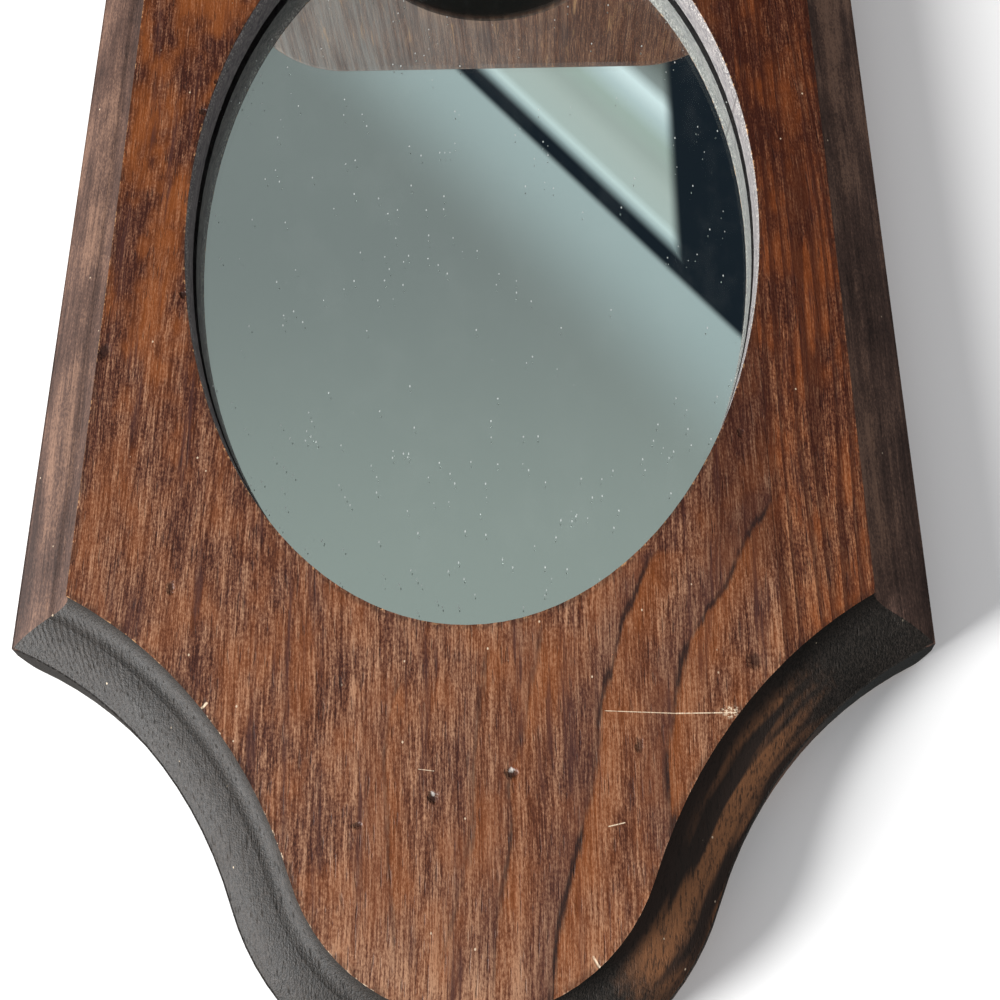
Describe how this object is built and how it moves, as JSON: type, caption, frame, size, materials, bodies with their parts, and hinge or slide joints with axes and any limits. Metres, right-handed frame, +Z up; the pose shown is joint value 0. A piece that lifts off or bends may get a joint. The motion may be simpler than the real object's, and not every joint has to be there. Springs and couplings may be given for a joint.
{
  "type": "wall shaving mirror with shelf",
  "caption": "Oval mirror let into a moulded wooden wall board with a round-ended tongue at the top and a shelf at the foot, bored with a large hole that holds a mug.",
  "frame": {"origin": "nail point on the wall plane, under the middle notch of the sawtooth hanger's teeth", "axes": "+Z up, -Y out of the wall towards the user, +X to the right as seen from the front; the board's and shelf's backs lie in Y = 0"},
  "size_m": [0.1724, 0.1502, 0.3389],
  "materials": {
    "board_wood": "satin",
    "shelf_wood": "satin",
    "mirror": "polished",
    "hardboard": "matte",
    "point_steel": "dull",
    "screw_steel": "dull",
    "hanger_steel": "satin"
  },
  "bodies": {
    "root": {"wide_stave": "board_wood", "narrow_stave": "board_wood", "shelf": "shelf_wood", "mirror_glass": "mirror", "backing_board": "hardboard", "glazier_points": "point_steel", "shelf_screws": "screw_steel", "sawtooth_hanger": "hanger_steel", "hanger_nails": "hanger_steel"}
  },
  "joints": []
}
